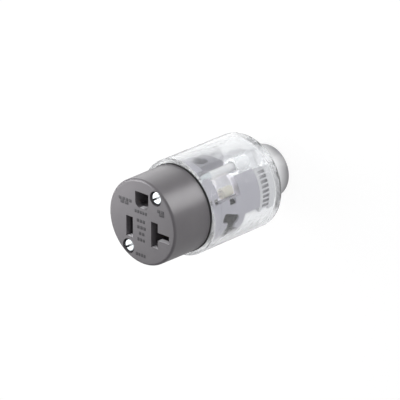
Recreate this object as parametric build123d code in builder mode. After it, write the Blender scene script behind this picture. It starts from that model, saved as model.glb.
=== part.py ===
import os
from math import cos, radians, sin, tan

from build123d import *

os.makedirs("parts", exist_ok=True)

# Driving sizes in millimetres. The connector stands on its cord collar with the mating face up:
# +Z runs along the axis to the face, +Y points to the ground slot and +X to the T-shaped slot.
# Angles are counted clockwise from the ground slot, as seen from the mating side.
overall_length = 71.0
housing_diameter = 37.6
housing_wall = 2.0
housing_edge = 2.4
housing_inner_edge = 0.8
housing_lip = 0.5
rear_wall = 2.6
face_step = 2.0
face_length = 18.6
face_edge = 1.0
face_draft = 0.6
front_wall = 2.6
gasket_thickness = 0.8
gasket_inset = 1.6
collar_diameter = 21.2
collar_length = 13.6
collar_wall = 3.4
collar_edge = 2.6

# Blade slots and the ground slot, by the 12.7 mm blade spacing.
blade_spacing = 12.7
blade_y = -3.3
slot_width = 3.4
hot_slot_height = 8.2
neutral_slot_height = 10.2
stub_reach = 13.7
stub_height = 3.2
ground_y = 8.7
ground_width = 6.7
ground_height = 6.2
ground_round = 2.2

# Contacts, stamped from one strip.
strip = 0.8
blade_gap = 1.4
leaf_width = 6.4
leaf_height = 11.5
leaf_lead = 0.35
stub_leaf = 3.6
ground_gap = 4.6
ground_leaf = 4.4
tail_width = 6.0
ground_tail_width = 4.8
tail_distance = 8.6
ground_tail_distance = 7.6
tail_overlap = 3.4
cavity_room = 0.9

# Terminal block with its plate, hollow side towers, skirts and ground tower. The shares are parts
# of the depth between the plate and the cord grip.
plate_thickness = 6.6
plate_slip = 0.7
tower_clearance = 0.6
tower_share = 0.61
tower_width = 17.0
tower_wall = 1.6
skirt_wall = 3.2
skirt_start = 48.5
skirt_end = 102.5
terminal_angle = 116.0
terminal_share = 0.28
ground_tower_width = 8.4
ground_tower_height = 6.2
ground_tower_share = 0.64
ground_tower_round = 2.4
well_diameter = 5.6
window_length = 8.6
window_edge = 1.2
window_upper = (0.8, -4.0, 3.6)
window_lower = (-0.8, 3.5, 5.8)
window_web = 4.4
window_tilt = 18.0

# Terminal screws and pressure plates.
terminal_shank_diameter = 3.0
terminal_head_diameter = 5.0
terminal_head_height = 1.9
wire_gap = 2.4
pressure_thickness = 1.4
pressure_length = 5.4
pressure_width = 5.2
screw_slot = 0.8

# Lamp, resistor and their leads, in pockets of the skirts, and the small notches beside them.
lamp_angle = 64.5
lamp_inset = 3.0
lamp_diameter = 4.0
lamp_body = 4.6
lamp_tip = 2.0
lamp_seal = 0.6
lamp_drop = 4.0
resistor_diameter = 2.2
resistor_length = 4.2
lead_diameter = 0.5
lead_bend = 0.45
lead_inset = 0.9
pocket_room = 0.4
pocket_reach = 9.5
notch_length = 3.2
notch_width = 2.2
notch_places = ((71.5, -0.05), (78.5, 0.3))

# Assembly screws, their bosses and inserts.
screw_inset = 3.4
screw_angle = 31.5
screw_diameter = 3.2
screw_head_diameter = 5.2
screw_head_height = 2.0
counterbore_diameter = 5.8
counterbore_depth = 2.6
boss_diameter = 6.8
boss_share = 0.28
insert_diameter = 4.4
insert_length = 7.5
insert_edge = 0.3

# Cord grip and jaws.
flange_thickness = 8.1
flange_clearance = 0.9
flange_start = 51.0
flange_end = 112.0
flange_teeth = 54
tooth_gap = 1.15
tooth_depth = 1.2
tooth_length = 3.6
tooth_inset = 1.4
collar_flutes = 28
flute_width = 0.9
flute_depth = 0.5
flute_length = 3.0
grip_gap = 0.4
jaw_share = 0.25
jaw_taper_share = 0.35
jaw_arc = 150.0
jaw_ribs = 3
jaw_rib = 0.6

# Clearances.
turning_fit = 0.15
screw_fit = 0.2
insert_fit = 0.05
tail_fit = 0.2
boss_fit = 0.3

# Levels and radii that follow from the sizes above.
face_back = overall_length - face_length
housing_front = face_back - gasket_thickness
chamber_floor = collar_length + rear_wall
plate_bottom = face_back - plate_thickness
flange_top = chamber_floor + flange_thickness
inner_depth = plate_bottom - flange_top
tower_drop = tower_share * inner_depth
ground_tower_drop = ground_tower_share * inner_depth
tower_end = flange_top + grip_gap
terminal_height = plate_bottom - terminal_share * inner_depth
tail_bottom = terminal_height - tail_overlap
boss_top = flange_top + boss_share * inner_depth
boss_height = boss_top - chamber_floor
jaw_height = jaw_share * inner_depth
slot_floor = overall_length - front_wall
counterbore_floor = overall_length - counterbore_depth
lamp_top = plate_bottom - lamp_drop
pocket_depth = lamp_drop + lamp_body + lamp_tip + pocket_room
pocket_start = skirt_start - 1
pocket_end = lamp_angle + pocket_reach
housing_radius = housing_diameter / 2
face_radius = housing_radius - face_step
chamber_radius = housing_radius - housing_wall
gasket_radius = housing_radius - gasket_inset
plate_radius = chamber_radius - plate_slip
tower_radius = chamber_radius - tower_clearance
skirt_radius = tower_radius - skirt_wall
screw_circle = chamber_radius - screw_inset
lamp_circle = tower_radius - lamp_inset
collar_radius = collar_diameter / 2
bore_radius = collar_radius - collar_wall
flange_radius = chamber_radius - flange_clearance
hub_radius = skirt_radius - jaw_rib
blade_x = blade_spacing / 2
screw_hole = screw_diameter + 2 * screw_fit
leaf_offset = blade_gap / 2 + strip / 2
leaf_span = blade_gap + 2 * strip
ground_span = ground_gap + 2 * strip
stub_middle = stub_reach - stub_leaf / 2
tower_inside = tail_distance + strip


def around(angle, radius):
    # Point at an angle clockwise from the ground slot.
    return radius * sin(radians(angle)), radius * cos(radians(angle))


def outward_plane(angle, distance, height):
    # Plane facing outward at the angle, with its x axis up the connector.
    x, y = around(angle, 1)
    return Plane(origin=(distance * x, distance * y, height), x_dir=(0, 0, 1), z_dir=(x, y, 0))


def upright_plane(angle):
    # Plane through the axis, with x outward at the angle and y up.
    x, y = around(angle, 1)
    return Plane(origin=(0, 0, 0), x_dir=(x, y, 0), z_dir=(y, -x, 0))


def sector(outer, inner, start, end):
    # Ring sector between two angles.
    reach = 2 * outer
    Circle(outer)
    Circle(inner, mode=Mode.SUBTRACT)
    Polygon(
        (0, 0), around(start, reach), around((start + end) / 2, reach), around(end, reach),
        mode=Mode.INTERSECT,
    )


def tail_section(angle, distance, width, grow):
    # Cross-section of a contact's tail.
    with Locations(around(angle, distance + strip / 2)):
        Rectangle(strip + 2 * grow, width + 2 * grow, rotation=90 - angle)


def web_outline(side, grow):
    # Footprint of a blade contact on the plate: its leaves and its tail.
    with Locations((side * blade_x, blade_y)):
        Rectangle(leaf_span + 2 * grow, leaf_width + 2 * grow)
    tail_section(side * terminal_angle, tail_distance, tail_width, grow)
    make_hull()


def stub_outline(grow):
    # Footprint of the leaves that take a flat neutral blade.
    with Locations(((blade_x + stub_reach) / 2, blade_y)):
        Rectangle(stub_reach - blade_x + 2 * grow, leaf_span + 2 * grow)


def ground_outline(grow):
    # Footprint of the ground contact on the plate.
    with Locations((0, ground_y)):
        Rectangle(ground_span + 2 * grow, ground_leaf + 2 * grow)
    tail_section(0, ground_tail_distance, ground_tail_width, grow)


screw_points = [around(screw_angle, screw_circle), around(screw_angle + 180, screw_circle)]
lamp_x, lamp_y = around(lamp_angle, lamp_circle)
terminals = {
    "hot": (-terminal_angle, tail_distance, tail_width),
    "neutral": (terminal_angle, tail_distance, tail_width),
    "ground": (0, ground_tail_distance, ground_tail_width),
}

# Front body: a moulded cup with three contact cavities, blade slots and screw counterbores.
with BuildPart() as face_body:
    with BuildSketch(Plane.XY.offset(face_back)):
        Circle(face_radius + face_length * tan(radians(face_draft)))
    extrude(amount=face_length, taper=face_draft)
    fillet(face_body.edges().group_by(Axis.Z)[-1], face_edge)
    for side in (-1, 1):
        with BuildSketch(Plane.XY.offset(face_back)):
            web_outline(side, cavity_room)
        extrude(amount=face_length - front_wall, mode=Mode.SUBTRACT)
    with BuildSketch(Plane.XY.offset(face_back)):
        stub_outline(cavity_room)
        ground_outline(cavity_room)
    extrude(amount=face_length - front_wall, mode=Mode.SUBTRACT)
    with BuildSketch(Plane.XY.offset(slot_floor)):
        with Locations((-blade_x, blade_y)):
            Rectangle(slot_width, hot_slot_height)
        with Locations((blade_x, blade_y)):
            Rectangle(slot_width, neutral_slot_height)
        with Locations(((blade_x + stub_reach) / 2, blade_y)):
            Rectangle(stub_reach - blade_x, stub_height)
    extrude(amount=front_wall, mode=Mode.SUBTRACT)
    with BuildSketch(Plane.XY.offset(slot_floor)):
        with Locations((0, ground_y)):
            ground_mouth = Rectangle(ground_width, ground_height)
        fillet(ground_mouth.vertices().group_by(Axis.Y)[0], ground_round)
    extrude(amount=front_wall, mode=Mode.SUBTRACT)
    with Locations(*[(x, y, overall_length) for x, y in screw_points]):
        CounterBoreHole(screw_hole / 2, counterbore_diameter / 2, counterbore_depth)
face_body.part.label = "face_body"
export_step(face_body.part, "parts/face_body.step")

# Gasket ring at the seam.
with BuildPart() as face_gasket:
    with BuildSketch(Plane.XY.offset(housing_front)):
        Circle(gasket_radius)
        Circle(plate_radius + turning_fit, mode=Mode.SUBTRACT)
    extrude(amount=gasket_thickness)
face_gasket.part.label = "face_gasket"
export_step(face_gasket.part, "parts/face_gasket.step")

# Clear housing: a moulded cup with two screw bosses on its rear wall.
with BuildPart() as clear_housing:
    with BuildSketch(Plane.XY.offset(collar_length)):
        Circle(housing_radius)
    extrude(amount=housing_front - collar_length)
    fillet(clear_housing.edges().group_by(Axis.Z)[0], housing_edge)
    fillet(clear_housing.edges().group_by(Axis.Z)[-1], housing_lip)
    with BuildSketch(Plane.XY.offset(chamber_floor)):
        Circle(chamber_radius)
    extrude(amount=housing_front - chamber_floor, mode=Mode.SUBTRACT)
    floor_edge = clear_housing.edges().filter_by(GeomType.CIRCLE).filter_by_position(
        Axis.Z, chamber_floor - housing_inner_edge / 2, chamber_floor + housing_inner_edge / 2
    )
    fillet(floor_edge, housing_inner_edge)
    with BuildSketch(Plane.XY.offset(chamber_floor)):
        with Locations(*screw_points):
            Circle(boss_diameter / 2)
    extrude(amount=boss_height)
    with BuildSketch(Plane.XY.offset(boss_top)):
        with Locations(*screw_points):
            Circle(insert_diameter / 2 + insert_fit)
    extrude(amount=-insert_length, mode=Mode.SUBTRACT)
    with BuildSketch(Plane.XY.offset(collar_length)):
        Circle(collar_radius + turning_fit)
    extrude(amount=rear_wall, mode=Mode.SUBTRACT)
clear_housing.part.label = "clear_housing"
export_step(clear_housing.part, "parts/clear_housing.step")

# Terminal block: a base plate, two side towers with skirts, and a ground tower.
with BuildPart() as terminal_block:
    with BuildSketch(Plane.XY.offset(plate_bottom)):
        Circle(plate_radius)
    extrude(amount=plate_thickness)
    for side in (-1, 1):
        side_angle = side * terminal_angle
        with BuildSketch(Plane.XY.offset(plate_bottom)):
            Circle(tower_radius)
            with Locations(around(side_angle, tower_inside + tower_radius / 2)):
                Rectangle(tower_radius, tower_width, rotation=90 - side_angle, mode=Mode.INTERSECT)
        extrude(amount=-tower_drop)
        with BuildSketch(Plane.XY.offset(plate_bottom)):
            sector(tower_radius, skirt_radius, side * skirt_start, side * skirt_end)
        extrude(amount=tower_end - plate_bottom)
        with BuildSketch(Plane.XY.offset(plate_bottom)):
            Circle(tower_radius - tower_wall)
            with Locations(around(side_angle, tower_inside + tower_wall + tower_radius / 2)):
                Rectangle(
                    tower_radius, tower_width - 2 * tower_wall, rotation=90 - side_angle, mode=Mode.INTERSECT
                )
        extrude(amount=tower_wall - tower_drop, mode=Mode.SUBTRACT)
    with BuildSketch(Plane.YZ):
        with Locations((ground_tail_distance + strip, plate_bottom)):
            tower_side = Rectangle(ground_tower_height, ground_tower_drop, align=(Align.MIN, Align.MAX))
        fillet(tower_side.vertices().group_by(Axis.Y)[0].sort_by(Axis.X)[-1], ground_tower_round)
    extrude(amount=ground_tower_width / 2, both=True)
    # Slots for the contact tails and open notches for the assembly screws.
    with BuildSketch(Plane.XY.offset(face_back)):
        for angle, distance, width in terminals.values():
            tail_section(angle, distance, width, tail_fit)
    extrude(amount=-plate_thickness, mode=Mode.SUBTRACT)
    with BuildSketch(Plane.XY.offset(face_back)):
        for angle in (screw_angle, screw_angle + 180):
            with Locations(around(angle, screw_circle + screw_hole)):
                SlotOverall(3 * screw_hole, screw_hole, rotation=90 - angle)
    extrude(amount=-(plate_thickness + tower_drop), mode=Mode.SUBTRACT)
    # Screw wells, and the window in each side tower's shell.
    for angle, distance, _ in terminals.values():
        with BuildSketch(outward_plane(angle, distance + strip, terminal_height)):
            Circle(well_diameter / 2)
        extrude(amount=ground_tower_height if angle == 0 else tower_wall, mode=Mode.SUBTRACT)
    for side in (-1, 1):
        with BuildSketch(outward_plane(side * terminal_angle, tower_inside + tower_wall, terminal_height)):
            for rise, offset, width in (window_upper, window_lower):
                with Locations((rise, side * offset)):
                    RectangleRounded(window_length, width, window_edge, rotation=-side * window_tilt)
            Rectangle(window_web, window_lower[1] - window_upper[1])
        extrude(amount=chamber_radius, mode=Mode.SUBTRACT)
    # Pockets for the lamp and the resistor, and the notches beside them.
    for side in (-1, 1):
        with BuildSketch(Plane.XY.offset(plate_bottom)):
            sector(chamber_radius, skirt_radius - skirt_wall, side * pocket_start, side * pocket_end)
        extrude(amount=-pocket_depth, mode=Mode.SUBTRACT)
        for angle, share in notch_places:
            level = plate_bottom - share * inner_depth
            with BuildSketch(outward_plane(side * angle, skirt_radius, level)):
                Rectangle(notch_length, notch_width)
            extrude(amount=chamber_radius, mode=Mode.SUBTRACT)
terminal_block.part.label = "terminal_block"
export_step(terminal_block.part, "parts/terminal_block.step")

# Blade contacts: a web on the plate, leaves up into the cavity and a tail down to the terminal.
for name, side in (("hot", -1), ("neutral", 1)):
    with BuildPart() as contact:
        with BuildSketch(Plane.XY.offset(face_back)):
            web_outline(side, 0)
            if name == "neutral":
                stub_outline(0)
        extrude(amount=strip)
        with BuildSketch(Plane.XY.offset(face_back)):
            tail_section(side * terminal_angle, tail_distance, tail_width, 0)
        extrude(amount=tail_bottom - face_back)
        with BuildSketch(Plane.XY.offset(face_back)):
            with Locations((side * blade_x - leaf_offset, blade_y), (side * blade_x + leaf_offset, blade_y)):
                Rectangle(strip, leaf_width)
        extrude(amount=leaf_height)
        if name == "neutral":
            with BuildSketch(Plane.XY.offset(face_back + 2 * strip)):
                with Locations((blade_x + leaf_offset, blade_y)):
                    Rectangle(2 * strip, leaf_span)
            extrude(amount=leaf_height, mode=Mode.SUBTRACT)
            with BuildSketch(Plane.XY.offset(face_back)):
                with Locations((stub_middle, blade_y - leaf_offset), (stub_middle, blade_y + leaf_offset)):
                    Rectangle(stub_leaf, strip)
            extrude(amount=leaf_height)
        chamfer(contact.edges().group_by(Axis.Z)[-1].filter_by(Axis.Y), leaf_lead)
        with BuildSketch(outward_plane(side * terminal_angle, tail_distance, terminal_height)):
            Circle(terminal_shank_diameter / 2 + screw_fit)
        extrude(amount=strip, mode=Mode.SUBTRACT)
    contact.part.label = f"{name}_contact"
    export_step(contact.part, f"parts/{name}_contact.step")

# Ground contact: two leaves astride the ground pin and a tail to the top terminal.
with BuildPart() as ground_contact:
    with BuildSketch(Plane.XY.offset(face_back)):
        ground_outline(0)
    extrude(amount=strip)
    with BuildSketch(Plane.XY.offset(face_back)):
        tail_section(0, ground_tail_distance, ground_tail_width, 0)
    extrude(amount=tail_bottom - face_back)
    with BuildSketch(Plane.XY.offset(face_back)):
        with Locations(((ground_gap + strip) / 2, ground_y), (-(ground_gap + strip) / 2, ground_y)):
            Rectangle(strip, ground_leaf)
    extrude(amount=leaf_height)
    chamfer(ground_contact.edges().group_by(Axis.Z)[-1].filter_by(Axis.Y), leaf_lead)
    with BuildSketch(outward_plane(0, ground_tail_distance, terminal_height)):
        Circle(terminal_shank_diameter / 2 + screw_fit)
    extrude(amount=strip, mode=Mode.SUBTRACT)
ground_contact.part.label = "ground_contact"
export_step(ground_contact.part, "parts/ground_contact.step")

# Terminal screws and the pressure plates that they draw up on the wire.
for name, (angle, distance, _) in terminals.items():
    seat = outward_plane(angle, distance + strip, terminal_height)
    with BuildPart() as terminal_screw:
        with BuildSketch(seat):
            Circle(terminal_head_diameter / 2)
        extrude(amount=terminal_head_height)
        with BuildSketch(seat):
            Circle(terminal_shank_diameter / 2)
        extrude(amount=-(strip + wire_gap + pressure_thickness))
        with BuildSketch(seat.offset(terminal_head_height)):
            Rectangle(terminal_head_diameter, screw_slot)
        extrude(amount=-terminal_head_height / 2, mode=Mode.SUBTRACT)
    terminal_screw.part.label = f"{name}_terminal_screw"
    export_step(terminal_screw.part, f"parts/{name}_terminal_screw.step")

    with BuildPart() as pressure_plate:
        with BuildSketch(seat.offset(-(strip + wire_gap))):
            Rectangle(pressure_length, pressure_width)
            Circle(terminal_shank_diameter / 2 + insert_fit, mode=Mode.SUBTRACT)
        extrude(amount=-pressure_thickness)
    pressure_plate.part.label = f"{name}_pressure_plate"
    export_step(pressure_plate.part, f"parts/{name}_pressure_plate.step")

# Lamp: a glass envelope with a drawn tip towards the cord end.
with BuildPart() as indicator_lamp:
    with BuildSketch(Plane(origin=(lamp_x, lamp_y, lamp_top), x_dir=(1, 0, 0), z_dir=(0, -1, 0))):
        with BuildLine():
            top = Line((0, 0), (lamp_diameter / 2, 0))
            side_line = Line(top @ 1, (lamp_diameter / 2, -lamp_body))
            tip = Spline(
                side_line @ 1, (lamp_seal / 2, -lamp_body - lamp_tip),
                tangents=((0, -1), (-0.4, -1)),
            )
            seal = Line(tip @ 1, (0, -lamp_body - lamp_tip))
            Line(seal @ 1, top @ 0)
        make_face()
    revolve(axis=Axis((lamp_x, lamp_y, 0), (0, 0, 1)))
indicator_lamp.part.label = "indicator_lamp"
export_step(indicator_lamp.part, "parts/indicator_lamp.step")

# Resistor opposite the lamp, with rounded end caps.
with BuildPart() as lamp_resistor:
    with BuildSketch(Plane.XY.offset(lamp_top)):
        with Locations((-lamp_x, lamp_y)):
            Circle(resistor_diameter / 2)
    extrude(amount=-resistor_length)
    fillet(lamp_resistor.edges().filter_by(GeomType.CIRCLE), resistor_diameter / 6)
lamp_resistor.part.label = "lamp_resistor"
export_step(lamp_resistor.part, "parts/lamp_resistor.step")

# Leads: lamp to the neutral tail, lamp to the resistor, resistor to the hot tail.
lead_level = plate_bottom - lead_diameter
resistor_bottom = lamp_top - resistor_length
resistor_level = resistor_bottom - lead_inset
tail_spot = outward_plane(terminal_angle, tail_distance - lead_diameter, 0).from_local_coords(
    (0, lead_inset - tail_width / 2, 0)
)
lead_routes = [
    [
        (lamp_x, lamp_y - lead_inset, lamp_top),
        (lamp_x, lamp_y - lead_inset, lead_level),
        (tail_spot.X, tail_spot.Y, lead_level),
    ],
    [
        (lamp_x, lamp_y + lead_inset, lamp_top),
        (lamp_x, lamp_y + lead_inset, lead_level),
        (-lamp_x, lamp_y, lead_level),
        (-lamp_x, lamp_y, lamp_top),
    ],
    [
        (-lamp_x, lamp_y, resistor_bottom),
        (-lamp_x, lamp_y, resistor_level),
        (-tail_spot.X, tail_spot.Y, resistor_level),
    ],
]
with BuildPart() as lamp_leads:
    for route in lead_routes:
        with BuildLine() as path:
            FilletPolyline(*route, radius=lead_bend)
        with BuildSketch(Plane(origin=path.line @ 0, z_dir=path.line % 0)):
            Circle(lead_diameter / 2)
        sweep(path=path.line)
lamp_leads.part.label = "lamp_leads"
export_step(lamp_leads.part, "parts/lamp_leads.step")

# Assembly screws: slotted heads in the counterbores, shanks down into the inserts.
with BuildPart() as assembly_screws:
    with BuildSketch(Plane.XY.offset(counterbore_floor)):
        with Locations(*screw_points):
            Circle(screw_head_diameter / 2)
    extrude(amount=screw_head_height)
    fillet(assembly_screws.edges().group_by(Axis.Z)[-1], screw_head_height / 3)
    with BuildSketch(Plane.XY.offset(counterbore_floor + screw_head_height)):
        with Locations(*screw_points):
            Rectangle(screw_head_diameter, screw_slot, rotation=screw_angle)
    extrude(amount=-screw_head_height / 2, mode=Mode.SUBTRACT)
    with BuildSketch(Plane.XY.offset(counterbore_floor)):
        with Locations(*screw_points):
            Circle(screw_diameter / 2)
    extrude(amount=boss_top - insert_length + insert_edge - counterbore_floor)
assembly_screws.part.label = "assembly_screws"
export_step(assembly_screws.part, "parts/assembly_screws.step")

# Threaded inserts in the bosses.
with BuildPart() as threaded_inserts:
    with BuildSketch(Plane.XY.offset(boss_top)):
        with Locations(*screw_points):
            Circle(insert_diameter / 2)
            Circle(screw_diameter / 2 + insert_fit, mode=Mode.SUBTRACT)
    extrude(amount=-insert_length)
threaded_inserts.part.label = "threaded_inserts"
export_step(threaded_inserts.part, "parts/threaded_inserts.step")

# Cord grip: the collar outside the housing and the toothed flange on its rear wall.
with BuildPart() as cord_grip:
    with BuildSketch(Plane.XY):
        Circle(collar_radius)
    extrude(amount=chamber_floor)
    fillet(cord_grip.edges().group_by(Axis.Z)[0], collar_edge)
    with BuildSketch(Plane.XY.offset(chamber_floor)):
        Circle(hub_radius)
        with Locations(*screw_points):
            Circle(boss_diameter / 2 + boss_fit, mode=Mode.SUBTRACT)
    extrude(amount=flange_thickness)
    for side in (-1, 1):
        with BuildSketch(Plane.XY.offset(chamber_floor)):
            sector(flange_radius, bore_radius, side * flange_start, side * flange_end)
        extrude(amount=flange_thickness)
    with BuildSketch(Plane.XY.offset(flange_top - tooth_inset)):
        with PolarLocations(flange_radius, flange_teeth):
            Rectangle(2 * tooth_depth, tooth_gap)
    extrude(amount=-tooth_length, mode=Mode.SUBTRACT)
    with BuildSketch(Plane.XY.offset(collar_length)):
        with PolarLocations(collar_radius, collar_flutes):
            Rectangle(2 * flute_depth, flute_width)
    extrude(amount=-flute_length, mode=Mode.SUBTRACT)
    with BuildSketch(Plane.XY):
        Circle(bore_radius)
    extrude(amount=flange_top, mode=Mode.SUBTRACT)
cord_grip.part.label = "cord_grip"
export_step(cord_grip.part, "parts/cord_grip.step")

# Jaws: two tapered half rings on the flange, ribbed inside to hold the cord.
jaw_inner = bore_radius + jaw_rib
jaw_outer = hub_radius
jaw_taper = jaw_taper_share * (jaw_outer - jaw_inner)
rib_pitch = jaw_height / jaw_ribs
for name, angle in (("left_jaw", -90), ("right_jaw", 90)):
    with BuildPart() as jaw:
        with BuildSketch(upright_plane(angle - jaw_arc / 2)):
            with BuildLine():
                Polyline(
                    (jaw_inner, flange_top),
                    (jaw_outer, flange_top),
                    (jaw_outer - jaw_taper, flange_top + jaw_height),
                    (jaw_inner, flange_top + jaw_height),
                    close=True,
                )
            make_face()
            for rib in range(jaw_ribs):
                rib_level = flange_top + (rib + 0.5) * rib_pitch
                Polygon(
                    (jaw_inner, rib_level - jaw_rib),
                    (jaw_inner, rib_level + jaw_rib),
                    (jaw_inner - jaw_rib, rib_level),
                )
        revolve(axis=Axis.Z, revolution_arc=-jaw_arc)
        with BuildSketch(Plane.XY.offset(flange_top)):
            with Locations(*screw_points):
                Circle(boss_diameter / 2 + boss_fit)
        extrude(amount=jaw_height, mode=Mode.SUBTRACT)
    jaw.part.label = name
    export_step(jaw.part, f"parts/{name}.step")
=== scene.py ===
import bpy
import numpy as np
from mathutils import Matrix, Vector


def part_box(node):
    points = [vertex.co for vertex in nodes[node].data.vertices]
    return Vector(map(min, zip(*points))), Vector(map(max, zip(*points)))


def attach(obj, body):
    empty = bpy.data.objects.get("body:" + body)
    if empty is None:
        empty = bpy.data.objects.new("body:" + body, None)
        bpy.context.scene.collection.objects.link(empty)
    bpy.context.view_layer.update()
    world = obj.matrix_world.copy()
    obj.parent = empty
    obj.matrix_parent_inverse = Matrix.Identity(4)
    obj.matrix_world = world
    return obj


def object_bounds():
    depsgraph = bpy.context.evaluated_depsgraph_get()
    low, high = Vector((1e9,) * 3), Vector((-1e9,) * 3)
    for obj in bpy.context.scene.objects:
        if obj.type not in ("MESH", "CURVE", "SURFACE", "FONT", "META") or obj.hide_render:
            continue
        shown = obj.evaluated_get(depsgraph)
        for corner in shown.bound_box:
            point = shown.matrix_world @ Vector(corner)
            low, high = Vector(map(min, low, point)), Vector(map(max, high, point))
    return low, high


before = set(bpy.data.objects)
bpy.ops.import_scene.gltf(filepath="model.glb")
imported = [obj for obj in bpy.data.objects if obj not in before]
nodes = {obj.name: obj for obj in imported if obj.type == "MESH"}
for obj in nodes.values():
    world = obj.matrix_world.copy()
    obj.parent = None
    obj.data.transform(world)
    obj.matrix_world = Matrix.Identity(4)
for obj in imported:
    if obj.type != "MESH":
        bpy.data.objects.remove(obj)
cadLow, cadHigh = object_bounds()  # the CAD box, before anything is added
mm = 0.001
rimAngle = 0.7  # radians, so that the rims of new pieces stay crisp
print("frame loaded:", len(nodes), "nodes")


def hexColour(code):  # sRGB hex to linear RGBA
    srgb = np.array([int(code[i:i + 2], 16) for i in (1, 3, 5)]) / 255
    linear = np.where(srgb <= 0.04045, srgb / 12.92, ((srgb + 0.055) / 1.055) ** 2.4)
    return (*linear, 1.0)


def join(tree, source, socket):  # the source is a fixed value, a socket, or a node for its first live output
    if isinstance(source, bpy.types.Node):
        source = next(output for output in source.outputs if output.enabled)
    if isinstance(source, bpy.types.NodeSocket):
        tree.links.new(source, socket)
    else:
        socket.default_value = source


def addNode(tree, kind, inputs=None, **settings):  # one node with its settings, values and links
    node = tree.nodes.new(kind)
    for name, value in settings.items():
        setattr(node, name, value)
    for name, value in (inputs or {}).items():
        join(tree, value, node.inputs[name])
    return node


def newMaterial(name, values):  # a Principled shader with fixed values, and the place on the part in metres
    material = bpy.data.materials.new(name)
    material.use_nodes = True
    tree = material.node_tree
    tree.nodes.clear()
    shader = addNode(tree, "ShaderNodeBsdfPrincipled", values, name="shader")
    addNode(tree, "ShaderNodeOutputMaterial", {"Surface": shader})
    place = addNode(tree, "ShaderNodeTexCoord", name="place").outputs["Object"]
    return material, tree, shader, place


def openMaterial(material):  # a finish that gets more shades: its tree, shader, place and colour so far
    tree = material.node_tree
    return tree, tree.nodes["shader"], tree.nodes["place"].outputs["Object"], tree.nodes["colour"]


def axisDistance(tree, place, x=0.0, y=0.0):  # how far a point is from an upright line, in metres
    flat = addNode(tree, "ShaderNodeVectorMath", {0: place, 1: (1, 1, 0)}, operation="MULTIPLY")
    return addNode(tree, "ShaderNodeVectorMath", {0: flat, 1: (x, y, 0)}, operation="DISTANCE")


def dress(material, *names):  # CAD nodes take a finish
    for name in names:
        slots = nodes[name].data.materials
        slots.clear()
        slots.append(material)


def nodeBox(name):  # low and high corner of a CAD node, in millimetres
    low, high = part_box(name)
    return np.array(low) / mm, np.array(high) / mm


# Injection moulded nylon 66: a satin skin whose mould grain breaks up highlights, with faint clouding.
# Real mould grain is under 0.1 mm across, so it is drawn coarser to show
nylonLook = dict(dark="#5f5c60", light="#696669", roughness=0.4, ior=1.53, clear=0.0,
                 grainMm=0.35, grainDeepMm=0.1, bump=0.12, cloudMm=7.0)


def mouldedSkin(name, look):  # moulded, dipped or drawn surface: a clouded colour under fine grain
    material, tree, shader, place = newMaterial(name, {
        "Roughness": look["roughness"], "IOR": look["ior"], "Transmission Weight": look["clear"]})
    clouds = addNode(tree, "ShaderNodeTexNoise", {
        "Vector": place, "Scale": 1 / (look["cloudMm"] * mm), "Detail": 3.0})
    colour = addNode(tree, "ShaderNodeMixRGB", {
        "Fac": clouds, "Color1": hexColour(look["dark"]), "Color2": hexColour(look["light"])}, name="colour")
    grain = addNode(tree, "ShaderNodeTexNoise", {
        "Vector": place, "Scale": 1 / (look["grainMm"] * mm), "Detail": 2.0})
    bump = addNode(tree, "ShaderNodeBump", {
        "Height": grain, "Strength": look["bump"], "Distance": look["grainDeepMm"] * mm})
    join(tree, colour, shader.inputs["Base Color"])
    join(tree, bump, shader.inputs["Normal"])
    return material


# The terminal block's nylon is pale and dull, with painted shade inside its screw pockets, and greyer on its
# ground tower.
# Each box: middle and half size in mm, turn in degrees, share of the dark colour, and whether it is a pocket
blockLook = dict(nylonLook, dark="#c6c4ce", light="#d5d3dc", roughness=0.5, inside="#1d1c1f", skinMm=15.7)
blockLook["boxes"] = [
    dict(middle=(13.0, -6.3, 41.0), half=(4.6, 9.3, 8.0), turn=-26.0, share=1.0, pocket=True),
    dict(middle=(-13.0, -6.3, 41.0), half=(4.6, 9.3, 8.0), turn=26.0, share=1.0, pocket=True),
    dict(middle=(0.0, 13.0, 38.4), half=(4.4, 4.8, 7.5), turn=0.0, share=0.32, pocket=False),
]


def shadeBlock(material, look):
    tree, shader, place, colour = openMaterial(material)
    radius = axisDistance(tree, place)
    under = addNode(tree, "ShaderNodeMath", {0: radius, 1: look["skinMm"] * mm}, operation="LESS_THAN")
    for box in look["boxes"]:  # inside where the largest of |x|, |y|, |z| is under 1 in the box's frame
        local = addNode(tree, "ShaderNodeMapping", {
            "Vector": place, "Location": np.array(box["middle"]) * mm, "Scale": np.array(box["half"]) * mm,
            "Rotation": (0, 0, np.radians(box["turn"]))}, vector_type="TEXTURE")
        size = addNode(tree, "ShaderNodeVectorMath", {0: local}, operation="ABSOLUTE")
        x, y, z = addNode(tree, "ShaderNodeSeparateXYZ", {"Vector": size}).outputs
        wide = addNode(tree, "ShaderNodeMath", {0: x, 1: y}, operation="MAXIMUM")
        most = addNode(tree, "ShaderNodeMath", {0: wide, 1: z}, operation="MAXIMUM")
        inside = addNode(tree, "ShaderNodeMath", {0: most, 1: 1.0}, operation="LESS_THAN")
        # painted shade: this box's share of the dark inside colour
        shade = addNode(tree, "ShaderNodeMath", {0: inside, 1: box["share"]}, operation="MULTIPLY")
        if box["pocket"]:  # the tower's outer skin stays pale
            shade = addNode(tree, "ShaderNodeMath", {0: shade, 1: under}, operation="MULTIPLY")
        colour = addNode(tree, "ShaderNodeMixRGB", {
            "Fac": shade, "Color1": colour, "Color2": hexColour(look["inside"])})
    join(tree, colour, shader.inputs["Base Color"])


# The cord grip's nylon is pale by the housing, with painted shade darkening it round the collar's end and
# painted shade in the gaps between its teeth.
# The gaps between teeth are found by radius and height, each give or take its second number
collarLook = dict(nylonLook, dark="#ececee", light="#f6f6f8", roughness=0.45, end="#5a5a5d", endMm=(1.0, 8.0),
                  gap="#d0cfd3", gapRadiusMm=(15.25, 0.57), gapHeightMm=(21.1, 1.9))


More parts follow.
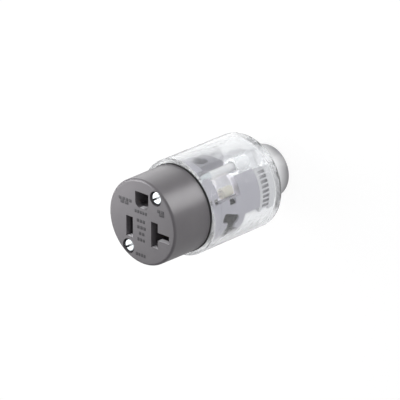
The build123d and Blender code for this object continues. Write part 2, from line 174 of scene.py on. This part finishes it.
def shadeCollar(material, look):
    tree, shader, place, colour = openMaterial(material)
    height = addNode(tree, "ShaderNodeSeparateXYZ", {"Vector": place}).outputs["Z"]
    # painted shade, darkest at the collar's end
    start, end = np.array(look["endMm"]) * mm
    along = addNode(tree, "ShaderNodeMapRange", {"Value": height, "From Min": start, "From Max": end})
    ended = addNode(tree, "ShaderNodeMixRGB", {
        "Fac": along, "Color1": hexColour(look["end"]), "Color2": colour})
    # painted shade in the gaps between the teeth
    middle, reach = np.array(look["gapRadiusMm"]) * mm
    radius = axisDistance(tree, place)
    deep = addNode(tree, "ShaderNodeMath", {0: radius, 1: middle, 2: reach}, operation="COMPARE")
    middle, reach = np.array(look["gapHeightMm"]) * mm
    level = addNode(tree, "ShaderNodeMath", {0: height, 1: middle, 2: reach}, operation="COMPARE")
    gap = addNode(tree, "ShaderNodeMath", {0: deep, 1: level}, operation="MULTIPLY")
    shaded = addNode(tree, "ShaderNodeMixRGB", {
        "Fac": gap, "Color1": ended, "Color2": hexColour(look["gap"])})
    join(tree, shaded, shader.inputs["Base Color"])


# The assembly screws' heads, and the painted shade in their slots, grey from just under the top of the head
# down
screwHead = dict(radiusMm=2.6, slot="#8a8c8e", slotMm=(0.08, 1.3))


def screwAxes(head):  # x and y of the right and left screws: the corners of their box, less a radius
    low, high = nodeBox("assembly_screws")
    return high[:2] - head["radiusMm"], low[:2] + head["radiusMm"]


def shadeScrewSlots(material, head):
    tree, shader, place, colour = openMaterial(material)
    height = addNode(tree, "ShaderNodeSeparateXYZ", {"Vector": place}).outputs["Z"]
    top = nodeBox("assembly_screws")[1][2]
    # painted shade in the slots and round the head's side
    start, end = head["slotMm"]
    middle, reach = (top - (start + end) / 2) * mm, (end - start) / 2 * mm
    slot = addNode(tree, "ShaderNodeMath", {0: height, 1: middle, 2: reach}, operation="COMPARE")
    shaded = addNode(tree, "ShaderNodeMixRGB", {
        "Fac": slot, "Color1": colour, "Color2": hexColour(head["slot"])})
    join(tree, shaded, shader.inputs["Base Color"])


# Clear polycarbonate from a hazy mould: near colourless, with soft patches in the polish, faint flow waves,
# and a faint painted glow for light diffused in the wall, a stronger painted glow in the thick bosses. It is
# greyer where it is seen at a slant, a longer way through. The thin wall bends what lies behind it only a
# little, so the index is set low
clearLook = dict(tint="#f6f7f8", edge="#d9dbdd", slant=(0.35, 1.0), ior=1.2, clear=0.95,
                 scatterGlow=0.024, bossScatterGlow=0.08, bossMm=3.5,
                 smooth=0.1, hazy=0.24, patches=(0.35, 0.65), hazeMm=2.6,
                 waveMm=3.0, waveDeepMm=1.0, bump=0.12)


def clearPolycarbonate(look):
    material, tree, shader, place = newMaterial("clear_polycarbonate", {
        "IOR": look["ior"], "Transmission Weight": look["clear"], "Emission Color": hexColour("#ffffff")})
    facing = addNode(tree, "ShaderNodeLayerWeight").outputs["Facing"]
    longer = addNode(tree, "ShaderNodeMapRange", {
        "Value": facing, "From Min": look["slant"][0], "From Max": look["slant"][1]})
    tint = addNode(tree, "ShaderNodeMixRGB", {
        "Fac": longer, "Color1": hexColour(look["tint"]), "Color2": hexColour(look["edge"])})
    haze = addNode(tree, "ShaderNodeTexNoise", {
        "Vector": place, "Scale": 1 / (look["hazeMm"] * mm), "Detail": 4.0})
    polish = addNode(tree, "ShaderNodeMapRange", {
        "Value": haze, "From Min": look["patches"][0], "From Max": look["patches"][1],
        "To Min": look["smooth"], "To Max": look["hazy"]})
    waves = addNode(tree, "ShaderNodeTexNoise", {
        "Vector": place, "Scale": 1 / (look["waveMm"] * mm), "Detail": 1.0})
    bump = addNode(tree, "ShaderNodeBump", {
        "Height": waves, "Strength": look["bump"], "Distance": look["waveDeepMm"] * mm})
    # painted glow: a faint emission over the wall, more of it near the bosses
    glow = look["scatterGlow"]
    for x, y in screwAxes(screwHead):  # the bosses stand around the screws
        away = axisDistance(tree, place, x * mm, y * mm)
        near = addNode(tree, "ShaderNodeMath", {0: away, 1: look["bossMm"] * mm}, operation="LESS_THAN")
        glow = addNode(tree, "ShaderNodeMath", {
            0: near, 1: look["bossScatterGlow"], 2: glow}, operation="MULTIPLY_ADD")
    join(tree, tint, shader.inputs["Base Color"])
    join(tree, polish, shader.inputs["Roughness"])
    join(tree, bump, shader.inputs["Normal"])
    join(tree, glow, shader.inputs["Emission Strength"])
    return material


# Metals: the dark and light of their faint streaks, roughness, and the streaks' size in mm
metalLooks = {
    # Steel with bright zinc plating: a cool shine
    "bright_zinc_steel": dict(dark="#c0c6c9", light="#dfe5e7", roughness=0.27, streakMm=0.5),
    # The same plating on the rolled thread, painted paler than the heads' as a painted highlight along the
    # shank
    "rolled_zinc_thread": dict(dark="#f0f1f2", light="#ffffff", roughness=0.5, streakMm=0.8),
    # Zinc plating painted flat mid grey, a painted shade for the parts deep in the terminal pockets
    "shaded_zinc_steel": dict(dark="#5f6062", light="#7b7d7f", roughness=0.45, streakMm=0.8),
    # Tumbled nickel: a soft white sheen, nothing mirrored in it
    "matt_nickel": dict(dark="#f2f3f3", light="#ffffff", roughness=0.6, streakMm=0.8),
    # Stamped from rolled brass strip: warm yellow, fairly bright
    "rolled_brass": dict(dark="#a98645", light="#c9a862", roughness=0.3, streakMm=0.8),
    # Plated steel dyed green: a deep colour with a metal's shine
    "green_dyed_steel": dict(dark="#1f6a37", light="#2f8048", roughness=0.35, streakMm=0.8),
    # Drawn copper dipped in tin: pale grey and bright
    "tinned_copper": dict(dark="#bcbcba", light="#d0d0ce", roughness=0.3, streakMm=0.6),
    # Drawn wire browned by heat: dark with little shine
    "oxidised_wire": dict(dark="#4a463f", light="#6a655b", roughness=0.5, streakMm=0.4),
}


def streakedMetal(name, look):
    material, tree, shader, place = newMaterial(name, {"Metallic": 1.0, "Roughness": look["roughness"]})
    streaks = addNode(tree, "ShaderNodeTexNoise", {
        "Vector": place, "Scale": 1 / (look["streakMm"] * mm), "Detail": 3.0})
    colour = addNode(tree, "ShaderNodeMixRGB", {
        "Fac": streaks, "Color1": hexColour(look["dark"]), "Color2": hexColour(look["light"])}, name="colour")
    join(tree, colour, shader.inputs["Base Color"])
    return material


metals = {name: streakedMetal(name, look) for name, look in metalLooks.items()}
shadeScrewSlots(metals["bright_zinc_steel"], screwHead)

# Moulded rubber: dull and near black
rubberLook = dict(nylonLook, dark="#161617", light="#1f1f20", roughness=0.7)
# Dipped and baked film on the resistor: tan with a half gloss
filmLook = dict(nylonLook, dark="#b08a5e", light="#c29a6a", roughness=0.35)
# Drawn glass, smooth, with a cream coat inside that is thicker in places and lets little light through
glassLook = dict(nylonLook, dark="#fbf4dc", light="#fffdf4", roughness=0.18, cloudMm=1.5, bump=0.0, clear=0.1)

blockNylon = mouldedSkin("block_nylon", blockLook)
shadeBlock(blockNylon, blockLook)
collarNylon = mouldedSkin("collar_nylon", collarLook)
shadeCollar(collarNylon, collarLook)

dress(mouldedSkin("grey_nylon", nylonLook), "face_body")
dress(blockNylon, "terminal_block")
dress(collarNylon, "cord_grip", "left_jaw", "right_jaw")
dress(mouldedSkin("gasket_rubber", rubberLook), "face_gasket")
dress(clearPolycarbonate(clearLook), "clear_housing")
dress(metals["bright_zinc_steel"], "assembly_screws")
# painted shade: the screw and plates in the pockets take the darker copy of the zinc plating
dress(metals["shaded_zinc_steel"], "neutral_terminal_screw", "hot_pressure_plate", "neutral_pressure_plate",
      "ground_pressure_plate")
dress(metals["matt_nickel"], "threaded_inserts")
dress(metals["rolled_brass"], "hot_contact", "neutral_contact", "ground_contact", "hot_terminal_screw")
dress(metals["green_dyed_steel"], "ground_terminal_screw")
dress(metals["tinned_copper"], "lamp_leads")
dress(mouldedSkin("lamp_glass", glassLook), "indicator_lamp")
dress(mouldedSkin("resistor_film", filmLook), "lamp_resistor")
print("finishes on the CAD nodes")


def addPiece(name, rings, material):
    # Closed skin over a stack of rings in mm: quads from P(i, j) to P(i + 1, j + 1), and a fan from each end
    # ring to its middle
    count, around = rings.shape[:2]
    points = np.concatenate([rings.reshape(-1, 3), rings[[0, -1]].mean(axis=1)])
    index = np.arange(count * around).reshape(count, around)
    ahead = np.roll(index, -1, axis=1)
    quads = np.stack([index[:-1], ahead[:-1], ahead[1:], index[1:]], axis=-1).reshape(-1, 4)
    low, high = (np.full(around, count * around + end) for end in (0, 1))
    bottom = np.stack([low, ahead[0], index[0]], axis=-1)
    top = np.stack([high, index[-1], ahead[-1]], axis=-1)
    mesh = bpy.data.meshes.new(name)
    mesh.from_pydata((points * mm).tolist(), [], quads.tolist() + bottom.tolist() + top.tolist())
    mesh.polygons.foreach_set("use_smooth", np.ones(len(mesh.polygons), dtype=bool))
    mesh.set_sharp_from_angle(angle=rimAngle)
    mesh.materials.append(material)
    piece = bpy.data.objects.new(name, mesh)
    bpy.context.scene.collection.objects.link(piece)
    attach(piece, "root")


def wholeTurn(around):  # angles t, evenly round a ring
    return np.linspace(0, 2 * np.pi, around, endpoint=False)


def barRings(middle, half, corner, profile, around=40):
    # Bar along z, a circle squared up until its corners are small: x = a sgn(cos t) |cos t|^corner and
    # y = b sgn(sin t) |sin t|^corner. The profile gives each ring's height over the face in mm, and its
    # share of the size
    turn = wholeTurn(around)
    edge = np.stack([np.cos(turn), np.sin(turn)], axis=-1)
    edge = np.sign(edge) * np.abs(edge) ** corner
    height, share = np.array(profile).T
    rings = np.empty((len(height), around, 3))
    rings[..., :2] = edge * half * share[:, None, None] + middle
    rings[..., 2] = cadHigh.z / mm + height[:, None]
    return rings


def roundRings(x, y, level, radius, around):
    # Round form along z: P = (x + r cos t, y + r sin t, level), with a row of r and of level for each ring
    turn = wholeTurn(around)
    across, along = x + radius * np.cos(turn), y + radius * np.sin(turn)
    return np.stack([across, along, np.broadcast_to(level, across.shape)], axis=-1)


# Moulded marks on the face, plain dashes in rows: middle x and y, whole length in mm, and the dashes in it.
# Their nylon is duller than the face's, and painted darker as painted shade of their relief
markLook = dict(nylonLook, dark="#3c3a3d", light="#454346", roughness=0.55)
faceMarks = dict(width=1.3, gap=0.3, corner=0.35, profile=[(-0.05, 1.0), (0.036, 1.0), (0.06, 0.92)], rows=[
    (-8.5, 7.0, 6.6, 4), (-8.9, 5.7, 4.2, 2), (-0.6, 3.9, 6.2, 5), (9.5, 6.9, 3.4, 2), (10.0, 5.7, 2.6, 1),
    (-0.6, 0.4, 4.2, 3), (-0.3, -2.2, 4.4, 3), (-0.2, -4.6, 2.8, 2), (-0.5, -7.1, 3.8, 3),
    (-0.8, -13.2, 5.0, 4),
])


def makeFaceMarks(marks, nylon):
    number = 0
    for x, y, length, dashes in marks["rows"]:
        dash = (length - (dashes - 1) * marks["gap"]) / dashes
        half = (dash / 2, marks["width"] / 2)
        for step in range(dashes):
            middle = (x - length / 2 + dash / 2 + step * (dash + marks["gap"]), y)
            number += 1
            rings = barRings(middle, half, marks["corner"], marks["profile"])
            addPiece(f"face_mark_{number:02d}", rings, nylon)


makeFaceMarks(faceMarks, mouldedSkin("mark_nylon", markLook))
print("face marks made")

# Sills on the lower walls of the slots, thin pale smooth sheets as a painted highlight on those walls: middle
# x, wall y and width in mm
sillLook = dict(nylonLook, dark="#bfbec1", light="#cdccd0", roughness=0.35)
slotSills = dict(thickness=0.06, corner=0.2, profile=[(-2.3, 1.0), (-0.15, 1.0)], rows=[
    (-6.35, -7.4, 3.2), (6.35, -8.4, 3.2), (10.85, -4.9, 5.5), (0.0, 5.6, 2.2)])


def makeSlotSills(sills, nylon):
    for number, (x, y, width) in enumerate(sills["rows"], 1):
        rings = barRings((x, y), (width / 2, sills["thickness"]), sills["corner"], sills["profile"])
        addPiece(f"slot_sill_{number}", rings, nylon)


# painted highlight: the pale sills on the slots' lower walls
makeSlotSills(slotSills, mouldedSkin("sill_highlight_nylon", sillLook))
print("slot sills made")

# Rolled thread on the assembly screws, by the 0.8 mm pitch of a small machine screw, in mm
screwThread = dict(pitch=0.8, depth=0.15, root=1.61, sink=0.06, start=0.6, length=19.5,
                   around=32, stepsPerTurn=8)


def makeScrewThreads(thread):
    # The radius swells once in a pitch, and the swell climbs with the turn: r = root + depth w with
    # w = (1 + cos(2 pi z / pitch - t)) / 2, and it fades to a little under the shank at both ends
    steps = int(thread["length"] / thread["pitch"] * thread["stepsPerTurn"])
    rise = np.linspace(0, thread["length"], steps)[:, None]
    wave = (1 + np.cos(2 * np.pi * rise / thread["pitch"] - wholeTurn(thread["around"]))) / 2
    fade = np.clip(np.minimum(rise, thread["length"] - rise) / thread["pitch"], 0, 1)
    radius = thread["root"] - thread["sink"] + fade * (thread["sink"] + thread["depth"] * wave)
    level = nodeBox("assembly_screws")[0][2] + thread["start"] + rise
    for side, (x, y) in zip(("right", "left"), screwAxes(screwHead)):
        rings = roundRings(x, y, level, radius, thread["around"])
        addPiece(f"{side}_screw_thread", rings, metals["rolled_zinc_thread"])


makeScrewThreads(screwThread)
print("screw threads made")

# Two electrodes in the lamp, in mm. The profile gives shares of the length from the top, and of the radius
electrodes = dict(spacing=1.8, radius=0.28, top=0.3, length=3.4, around=24,
                  profile=[(1.0, 0.6), (0.95, 1.0), (0.0, 1.0)])


def makeElectrodes(rods):
    low, high = nodeBox("indicator_lamp")
    x, y = (low + high)[:2] / 2
    down, share = np.array(rods["profile"]).T[..., None]
    level = high[2] - rods["top"] - rods["length"] * down
    for name, side in (("lower_electrode", -1), ("upper_electrode", 1)):
        rings = roundRings(x, y + side * rods["spacing"] / 2, level, rods["radius"] * share, rods["around"])
        addPiece(name, rings, metals["oxidised_wire"])


makeElectrodes(electrodes)

# Bands of baked enamel round the resistor, glossy and a little clouded: drop from its top in mm, dark, light.
# The profile gives shares of the width, and heights over the film in mm
enamelLook = dict(nylonLook, roughness=0.3, cloudMm=0.6)
resistorBands = dict(width=0.42, around=24, profile=[(-0.5, -0.03), (-0.4, 0.02), (0.4, 0.02), (0.5, -0.03)])
resistorBands["steps"] = [
    (0.8, "#55351f", "#63422a"), (1.5, "#191716", "#242120"),
    (2.2, "#ba5a24", "#ca6c34"), (3.2, "#ae8a38", "#c29c48"),
]


def makeResistorBands(bands, look):
    low, high = nodeBox("lamp_resistor")
    x, y = (low + high)[:2] / 2
    share, height = np.array(bands["profile"]).T[..., None]
    radius = (high - low)[0] / 2 + height
    for number, (drop, dark, light) in enumerate(bands["steps"], 1):
        enamel = mouldedSkin(f"band_enamel_{number}", dict(look, dark=dark, light=light))
        rings = roundRings(x, y, high[2] - drop + bands["width"] * share, radius, bands["around"])
        addPiece(f"resistor_band_{number}", rings, enamel)


makeResistorBands(resistorBands, enamelLook)
print("lamp details made")

# The camera, by its axes in the part's frame and the face centre's place in the picture
photoView = dict(right=(0.73135, 0.0, -0.68200), up=(-0.26648, 0.92050, -0.28576), facePixel=(141.9, 222.6),
                 imagePixels=400, pixelsPerMm=2.724, lens=287.0, sensor=36.0)


def placeCamera(view):
    right = Vector(view["right"]).normalized()
    back = right.cross(Vector(view["up"])).normalized()
    up = back.cross(right)
    middle = view["imagePixels"] / 2
    step = mm / view["pixelsPerMm"]  # metres in one pixel at the face
    target = Vector((0, 0, cadHigh.z)) + right * (middle - view["facePixel"][0]) * step
    target += up * (view["facePixel"][1] - middle) * step
    distance = view["imagePixels"] * step * view["lens"] / view["sensor"]
    data = bpy.data.cameras.new("photo_camera")
    data.lens = view["lens"]
    data.sensor_width = view["sensor"]
    camera = bpy.data.objects.new("photo_camera", data)
    axes = Matrix((right, up, back)).transposed().to_4x4()
    camera.matrix_world = Matrix.Translation(target + back * distance) @ axes
    bpy.context.scene.collection.objects.link(camera)
    bpy.context.scene.camera = camera
    return right, up, back


right, up, back = placeCamera(photoView)

# Soft boxes in metres and watts, placed from the part's middle along the picture's right and up, and to the
# camera. The small corner box puts the shine on the screw heads
softBoxes = {
    "side_box": dict(place=(0.49, 0.34, 0.04), size=(0.36, 0.7), power=6.8),
    "top_box": dict(place=(0.0, 0.43, -0.42), size=(0.5, 0.3), power=0.8),
    "face_box": dict(place=(-0.30, -0.04, -0.01), size=(0.2, 0.2), power=0.3),
    "corner_box": dict(place=(-0.067, 0.017, 0.037), size=(0.03, 0.03), power=0.025),
}


def addSoftBox(name, box):
    data = bpy.data.lights.new(name, "AREA")
    data.shape = "RECTANGLE"
    data.size, data.size_y = box["size"]
    data.energy = box["power"]
    light = bpy.data.objects.new(name, data)
    offset = right * box["place"][0] + up * box["place"][1] + back * box["place"][2]
    light.location = (cadLow + cadHigh) / 2 + offset
    light.rotation_mode = "QUATERNION"
    light.rotation_quaternion = (-offset).to_track_quat("-Z", "Y")
    light.visible_camera = False
    bpy.context.scene.collection.objects.link(light)


for name, box in softBoxes.items():
    addSoftBox(name, box)

# Soft fill inside the clear housing, for the box light that its wall lets in
innerFill = dict(heightMm=42.0, radiusMm=3.5, power=0.0085)


def addInnerFill(fill):
    data = bpy.data.lights.new("inner_fill", "POINT")
    data.energy = fill["power"]
    data.shadow_soft_size = fill["radiusMm"] * mm
    light = bpy.data.objects.new("inner_fill", data)
    light.location = (0, 0, fill["heightMm"] * mm)
    light.visible_camera = light.visible_glossy = light.visible_transmission = False
    bpy.context.scene.collection.objects.link(light)


addInnerFill(innerFill)

# The tent around it: dim at the picture's lower left, brighter at the upper right
tentLight = dict(low="#8a8a8c", high="#ffffff", strength=1.05, towards=(0.8, 0.6))


def addTent(light):
    world = bpy.data.worlds.new("light_tent")
    world.use_nodes = True
    tree = world.node_tree
    direction = addNode(tree, "ShaderNodeTexCoord").outputs["Generated"]
    bright = right * light["towards"][0] + up * light["towards"][1]
    height = addNode(tree, "ShaderNodeVectorMath", {0: direction, 1: bright}, operation="DOT_PRODUCT")
    share = addNode(tree, "ShaderNodeMapRange", {"Value": height, "From Min": -1.0, "From Max": 1.0})
    shade = addNode(tree, "ShaderNodeMixRGB", {
        "Fac": share, "Color1": hexColour(light["low"]), "Color2": hexColour(light["high"])})
    background = tree.nodes["Background"]
    join(tree, shade, background.inputs["Color"])
    join(tree, light["strength"], background.inputs["Strength"])
    bpy.context.scene.world = world


addTent(tentLight)
bpy.context.scene.view_settings.view_transform = "Standard"

# The pale floor, a white sheet with light under it: a flat grid, z = 0 all over
floorSheet = dict(half=3.0, steps=9, colour="#606060", glow=0.92, roughness=0.9)


def makeFloor(sheet):
    line = np.linspace(-sheet["half"], sheet["half"], sheet["steps"])
    x, y = np.meshgrid(line, line)
    points = np.stack([x, y, np.zeros_like(x)], axis=-1).reshape(-1, 3)
    index = np.arange(sheet["steps"] ** 2).reshape(sheet["steps"], sheet["steps"])
    quads = np.stack([index[:-1, :-1], index[:-1, 1:], index[1:, 1:], index[1:, :-1]], axis=-1)
    mesh = bpy.data.meshes.new("floor")
    mesh.from_pydata(points.tolist(), [], quads.reshape(-1, 4).tolist())
    floor = bpy.data.objects.new("floor", mesh)
    bpy.context.scene.collection.objects.link(floor)
    material, *_ = newMaterial("pale_floor", {
        "Roughness": sheet["roughness"], "Base Color": hexColour(sheet["colour"]),
        "Emission Color": hexColour("#ffffff"), "Emission Strength": sheet["glow"]})
    mesh.materials.append(material)
    floor.visible_diffuse = floor.visible_glossy = False  # it is only looked at, and the tent gives the light


makeFloor(floorSheet)
print("camera, lights and floor set")
